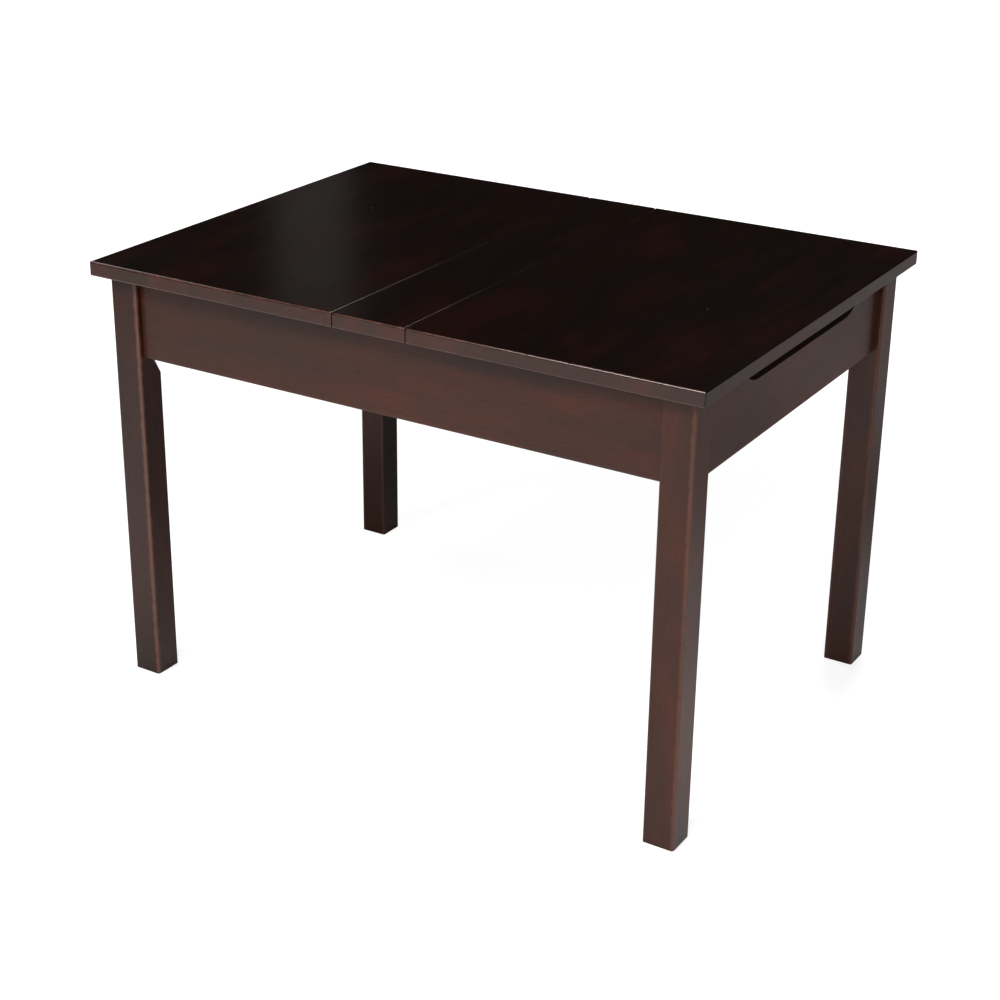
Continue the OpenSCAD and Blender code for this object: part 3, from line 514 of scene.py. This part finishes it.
# The pale rubbed edge, partly painted highlight, runs along the top's front edge only, on the front legs at
# their front right corner only and on no leg at its ends, so the box is drawn wider elsewhere by more than
# any rubbed edge is wide
wider = 0.01
noMargin = ((0, 0, 0), (0, 0, 0))
topMargin = ((-wider, 0, 0), (wider, wider, 0))
frontLegMargin = ((-wider, 0, -wider), (0, wider, wider))
backLegMargin = ((0, 0, -wider), (0, 0, wider))
boardMargin = {
    "lid_left": topMargin, "lid_right": topMargin, "centre_strip": topMargin,
    "leg_front_left": frontLegMargin, "leg_front_right": frontLegMargin,
    "leg_back_left": backLegMargin, "leg_back_right": backLegMargin,
}
# The cuts of the finger slots are drawn greyer than the faces, a painted grey sheen. Their colour starts and
# is full at two depths below a face of the apron and at two heights above its bottom.
slotCutSheen = {"colour": srgb(46, 37, 30), "depth": (0.0002, 0.0008), "rise": (0.01, 0.02)}
boardCut = {"apron_left": slotCutSheen, "apron_right": slotCutSheen}


def dress(node, material):
    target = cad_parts[node]
    for entry in target.material_slots:
        entry.material = material
    if not target.material_slots:
        target.data.materials.append(material)


def dressBoards(boards, stain, shadedTopFace=None):
    for node, (fibres, seed) in boards.items():
        tone = boardToneAndShade.get(node, 1.0)
        ownStain = dict(stain, edgeStrength=boardWearAndHighlight.get(node, stain["edgeStrength"]))
        # painted light and shade on the legs: the tone lightens or darkens the colours by how light falls on
        # each
        for key in tonedColours:
            ownStain[key] = tuple(v * tone for v in stain[key])
        dress(node, woodMaterial(node + "_wood", ownStain, fibres, seed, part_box(node), shadedTopFace,
                                 boardCut.get(node), boardMargin.get(node, noMargin)))


dressBoards(topBoards, topStain, topGlossAndShade)
dressBoards(frameBoards, frameStain)
dressBoards(innerBoards, innerStain)
print("boards dressed")

zincMaterial = metalMaterial("zincPlate", zincPlate)
bronzeMaterial = metalMaterial("bronzePlate", bronzePlate)
beechMaterial = dowelMaterial("bareBeech", bareBeech)
boardNodes = {*topBoards, *frameBoards, *innerBoards}
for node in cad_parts:
    if node == "dowels":
        dress(node, beechMaterial)
    elif node.startswith("hinge_"):
        dress(node, bronzeMaterial)
    elif node not in boardNodes:
        dress(node, zincMaterial)
print("metal dressed")

# Floor, world and lamps

studio = {
    "floorRadius": 60.0,
    "spokes": 96,
    "rings": 9,
    "paper": (-0.3, -0.8, 1.0, 2.3),   # middle of a painted pool of light on the white paper, where the painted light starts to fall off and where it ends
    "paperTone": 0.80,
    # far from the table the paper is drawn darker, a painted falloff of light
    "falloffTone": 0.25,
    # Middle, core and rim of the painted shadows on the floor, one below and behind the table, one behind it
    # at the right
    "shades": [(-0.35, 0.60, 0.40, 1.20), (0.72, 0.80, 0.12, 0.42)],
    "shadeTone": 0.25,
    "paperGlow": 0.57,         # what the camera sees on top of the light that falls on the paper
    "shadeGlow": 0.83,         # the same in the painted shadows
    "paperShine": 0.17,        # what lacquer and metal see on top of it
    "worldLow": 0.07,          # light from near the horizon
    "worldHigh": 0.04,         # light from overhead
    "worldRise": 0.6,          # sine of the angle above the horizon from which it is as from overhead
    "backdropLow": 0.30,       # what lacquer and metal reflect at the horizon
    "backdropHigh": 0.005,     # and above the backdrop
    "backdropRise": 0.09,      # sine of the angle at which the backdrop ends
    "lamps": {
        "frontBox": {"place": (1.3, -2.8, 2.3), "aim": (0.0, 0.0, 0.40), "size": (1.8, 1.3), "power": 62.0},
        "edgeBox": {"place": (-1.0, -2.4, 2.9), "aim": (0.0, 0.0, 0.40), "size": (0.9, 0.6), "power": 82.0},
        "rightBox": {"place": (3.2, -0.3, 2.4), "aim": (0.0, 0.0, 0.40), "size": (1.8, 1.3), "power": 32.0},
        "leftBox": {"place": (-3.1, 0.9, 2.6), "aim": (0.0, 0.0, 0.40), "size": (1.8, 1.3), "power": 42.0},
        "backBox": {"place": (-0.3, 3.0, 3.75), "aim": (0.0, 0.0, 0.40), "size": (1.0, 0.7), "power": 26.0},
        "rearBox": {"place": (-0.8, 3.3, 1.60), "aim": (0.0, 0.3, 0.35), "size": (1.6, 1.0), "power": 48.0,
                    "mirrored": False},
        "farStrip": {"place": (-2.73, 3.24, 1.75), "aim": (0.0, 0.0, 0.55), "size": (0.26, 0.9),
                     "power": 0.06},
    },
}


# The floor is a disc in polar coordinates, whose rings of points have radii that grow as powers of two. Its
# middle is a fan of triangles, and squares join each ring to the next.


def floorMesh(settings):
    spokes, rings = settings["spokes"], settings["rings"]
    turns = np.linspace(0, 2 * np.pi, spokes, endpoint=False)
    radii = settings["floorRadius"] * 2.0 ** np.arange(1 - rings, 1)
    circle = np.stack([np.cos(turns), np.sin(turns), np.zeros(spokes)], axis=1)
    points = np.concatenate([np.zeros((1, 3)), (radii[:, None, None] * circle).reshape(-1, 3)])
    here = np.arange(spokes)
    beside = (here + 1) % spokes
    fan = np.stack([np.zeros(spokes, int), 1 + here, 1 + beside], axis=1)
    inner = 1 + spokes * np.arange(rings - 1)[:, None]
    outer = inner + spokes
    squares = np.stack([inner + here, outer + here, outer + beside, inner + beside], axis=-1).reshape(-1, 4)
    mesh = bpy.data.meshes.new("studioFloor")
    mesh.from_pydata(points.tolist(), [], fan.tolist() + squares.tolist())
    return mesh


def floorMaterial(name, settings):
    material, tree, shader, place = newMaterial(name)
    tree.nodes.remove(shader)
    middleX, middleY, fadeStart, fadeEnd = settings["paper"]
    # painted light: the floor's colour falls from the paper tone near the table to a far darker tone further
    # away
    lightFalloff = smoothBetween(tree, distanceFrom(tree, place, middleX, middleY), fadeStart, fadeEnd)
    bright = 1.0
    # painted shadows: the floor is darker in these patches, and lacquer and metal see less shine there
    for shadeX, shadeY, core, rim in settings["shades"]:
        outside = smoothBetween(tree, distanceFrom(tree, place, shadeX, shadeY), core, rim)
        bright = mathNode(tree, "MULTIPLY", outside, bright)
    tone = mixColour(tree, lightFalloff, (settings["paperTone"],) * 3, (settings["falloffTone"],) * 3)
    tone = mixColour(tree, bright, (settings["shadeTone"],) * 3, tone)
    matt = addNode(tree, "ShaderNodeBsdfDiffuse")
    feed(tree, tone, matt.inputs["Color"])
    rays = addNode(tree, "ShaderNodeLightPath").outputs
    shine = mathNode(tree, "MULTIPLY", bright, settings["paperShine"])
    shine = mathNode(tree, "MULTIPLY", mirrorRays(tree, rays), shine)
    paper = smoothBetween(tree, lightFalloff, 0.0, 1.0, out=(settings["paperGlow"], 1.0))
    shade = smoothBetween(tree, bright, 0.0, 1.0, out=(settings["shadeGlow"], settings["paperGlow"]))
    white = mathNode(tree, "MAXIMUM", paper, shade)
    strength = mathNode(tree, "MULTIPLY_ADD", rays["Is Camera Ray"], white, shine)
    glow = addNode(tree, "ShaderNodeEmission", Color=(1.0, 1.0, 1.0, 1.0))
    feed(tree, strength, glow.inputs["Strength"])
    both = addNode(tree, "ShaderNodeAddShader")
    feed(tree, matt.outputs[0], both.inputs[0])
    feed(tree, glow.outputs[0], both.inputs[1])
    feed(tree, both.outputs[0], tree.nodes["Material Output"].inputs["Surface"])
    return material


def addFloor(settings):
    floor = bpy.data.objects.new("studioFloor", floorMesh(settings))
    bpy.context.scene.collection.objects.link(floor)
    floor.data.materials.append(floorMaterial("paleFloor", settings))


# The world is white for the camera. Lacquer and metal see a pale backdrop near the horizon and a dim room
# above it, and the light that falls on the object is a little stronger from the horizon than from overhead.


def addWorld(settings):
    world = bpy.data.worlds.new("softRoom")
    bpy.context.scene.world = world
    world.use_nodes = True
    tree = world.node_tree
    rise = splitVector(tree, addNode(tree, "ShaderNodeTexCoord").outputs["Generated"])[2]
    light = smoothBetween(tree, rise, 0.0, settings["worldRise"],
                          out=(settings["worldLow"], settings["worldHigh"]))
    backdrop = smoothBetween(tree, rise, 0.0, settings["backdropRise"],
                             out=(settings["backdropLow"], settings["backdropHigh"]))
    rays = addNode(tree, "ShaderNodeLightPath").outputs
    mixed = mixNode(tree, "FLOAT", mirrorRays(tree, rays), light, backdrop)
    background = tree.nodes["Background"]
    background.inputs["Color"].default_value = (1.0, 1.0, 1.0, 1.0)
    strength = mathNode(tree, "MAXIMUM", mixed, rays["Is Camera Ray"])
    feed(tree, strength, background.inputs["Strength"])


def addLamp(name, settings):
    lampData = bpy.data.lights.new(name, "AREA")
    lampData.shape = "RECTANGLE"
    lampData.size, lampData.size_y = settings["size"]
    lampData.energy = settings["power"]
    lamp = bpy.data.objects.new(name, lampData)
    lamp.visible_glossy = settings.get("mirrored", True)
    dx, dy, dz = (a - b for a, b in zip(settings["aim"], settings["place"]))
    lamp.location = settings["place"]
    lamp.rotation_euler = (math.atan2(math.hypot(dx, dy), -dz), 0.0, math.atan2(dy, dx) - math.pi / 2)
    bpy.context.scene.collection.objects.link(lamp)


addFloor(studio)
addWorld(studio)
for lampName, lampSettings in studio["lamps"].items():
    addLamp(lampName, lampSettings)
print("studio lit")
